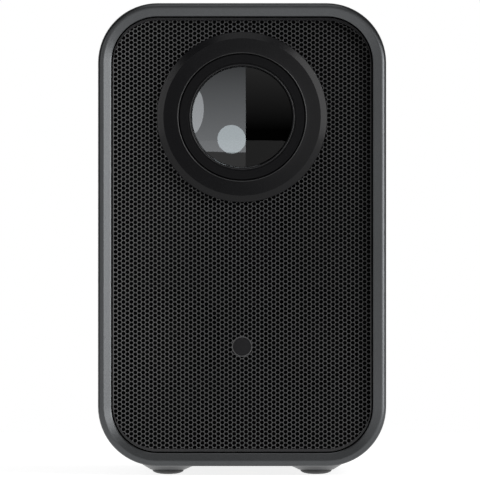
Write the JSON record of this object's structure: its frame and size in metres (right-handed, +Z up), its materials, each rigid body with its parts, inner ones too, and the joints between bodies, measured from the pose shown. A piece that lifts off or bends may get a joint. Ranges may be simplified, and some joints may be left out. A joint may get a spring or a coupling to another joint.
{
  "type": "video projector",
  "caption": "Upright portable video projector with a large front lens over a perforated speaker grille, a sloped front frame, motor focus and a rear cooling fan.",
  "frame": {"origin": "centre of the footprint, on the surface under the feet", "axes": "+Z up, +X to the right of someone looking at the lens, the lens faces -Y"},
  "size_m": [0.119, 0.155, 0.1956],
  "materials": {
    "housing_paint": "fine sand-blasted metallic paint",
    "grille_paint": "matt dark paint on steel sheet",
    "bezel_black": "satin black",
    "barrel_black": "satin black",
    "window_smoke": "dark smoked plastic",
    "black_plastic": "matt black",
    "foot_rubber": "matt",
    "insert_brass": "turned",
    "board_green": "solder mask",
    "gear_white": "natural acetal",
    "steel": "plain",
    "lens_glass": "coated",
    "mirror_silver": "front-silvered",
    "sink_aluminium": "extruded",
    "magnet_iron": "plain",
    "cone_paper": "pressed paper"
  },
  "bodies": {
    "chassis": {"housing_sleeve": "housing_paint", "front_baffle": "black_plastic", "front_grille": "grille_paint", "lens_bezel": "bezel_black", "sensor_window": "window_smoke", "sensor_board": "board_green", "rear_cover": "black_plastic", "front_left_foot": "foot_rubber", "front_right_foot": "foot_rubber", "rear_left_foot": "foot_rubber", "rear_right_foot": "foot_rubber", "tripod_insert": "insert_brass", "button_board": "board_green", "lens_tube": "black_plastic", "ring_retainer": "steel", "focus_motor": "steel", "engine_upper_case": "black_plastic", "engine_lower_case": "black_plastic", "fold_mirror": "mirror_silver", "upper_lens_sheet": "lens_glass", "lcd_panel": "lens_glass", "lower_lens_sheet": "lens_glass", "heat_glass": "lens_glass", "condenser_lens": "lens_glass", "led_module": "sink_aluminium", "heat_sink": "sink_aluminium", "fan_frame": "black_plastic", "main_board": "board_green", "processor_sink": "sink_aluminium", "video_socket": "steel", "data_socket": "steel", "audio_socket": "black_plastic", "power_socket": "black_plastic", "speaker_box": "black_plastic", "left_speaker_basket": "steel", "right_speaker_basket": "steel", "left_speaker_magnet": "magnet_iron", "right_speaker_magnet": "magnet_iron", "left_speaker_surround": "foot_rubber", "right_speaker_surround": "foot_rubber", "baffle_screws": "steel", "cover_screws": "steel", "fan_screws": "steel", "board_screws": "steel", "lens_screws": "steel"},
    "focus_ring": {"focus_ring": "gear_white"},
    "focus_pinion": {"focus_pinion": "gear_white"},
    "lens_group": {"lens_barrel": "barrel_black", "lens_retainer": "barrel_black", "front_lens": "lens_glass", "middle_lens": "lens_glass", "rear_lens": "lens_glass", "cam_pin": "steel"},
    "fan_rotor": {"fan_rotor": "black_plastic"},
    "power_button": {"power_button": "housing_paint"},
    "left_cone": {"left_speaker_cone": "cone_paper"},
    "right_cone": {"right_speaker_cone": "cone_paper"}
  },
  "joints": [
    {"name": "focus_ring_turn", "type": "hinge", "parent": "chassis", "child": "focus_ring", "pos_m": [0, -0.0435, 0.148], "axis": [0, 1, 0], "range_deg": [-30.2, 30.2]},
    {"name": "focus_pinion_turn", "type": "hinge", "parent": "chassis", "child": "focus_pinion", "pos_m": [0.02772, -0.0435, 0.12028], "axis": [0, 1, 0], "range_deg": [-181, 181]},
    {"name": "lens_focus_slide", "type": "slide", "parent": "chassis", "child": "lens_group", "axis": [0, -1, 0], "range_m": [-0.0015, 0.0015]},
    {"name": "fan_spin", "type": "hinge", "parent": "chassis", "child": "fan_rotor", "pos_m": [0, 0.065, 0.04], "axis": [0, 1, 0], "continuous": true},
    {"name": "power_button_press", "type": "slide", "parent": "chassis", "child": "power_button", "axis": [0, 0, -1], "range_m": [0, 0.0005], "stiffness_N_per_m": 400, "springref_m": -0.0005},
    {"name": "left_cone_stroke", "type": "slide", "parent": "chassis", "child": "left_cone", "axis": [0, -1, 0], "range_m": [-0.001, 0.001], "stiffness_N_per_m": 500, "deforming": ["left_speaker_surround"]},
    {"name": "right_cone_stroke", "type": "slide", "parent": "chassis", "child": "right_cone", "axis": [0, -1, 0], "range_m": [-0.001, 0.001], "stiffness_N_per_m": 500, "deforming": ["right_speaker_surround"]}
  ],
  "couplings": [
    {"joint": "focus_ring_turn", "follows": "lens_focus_slide", "rad_per_m": 349.07},
    {"joint": "focus_pinion_turn", "follows": "lens_focus_slide", "rad_per_m": -2094.4}
  ]
}
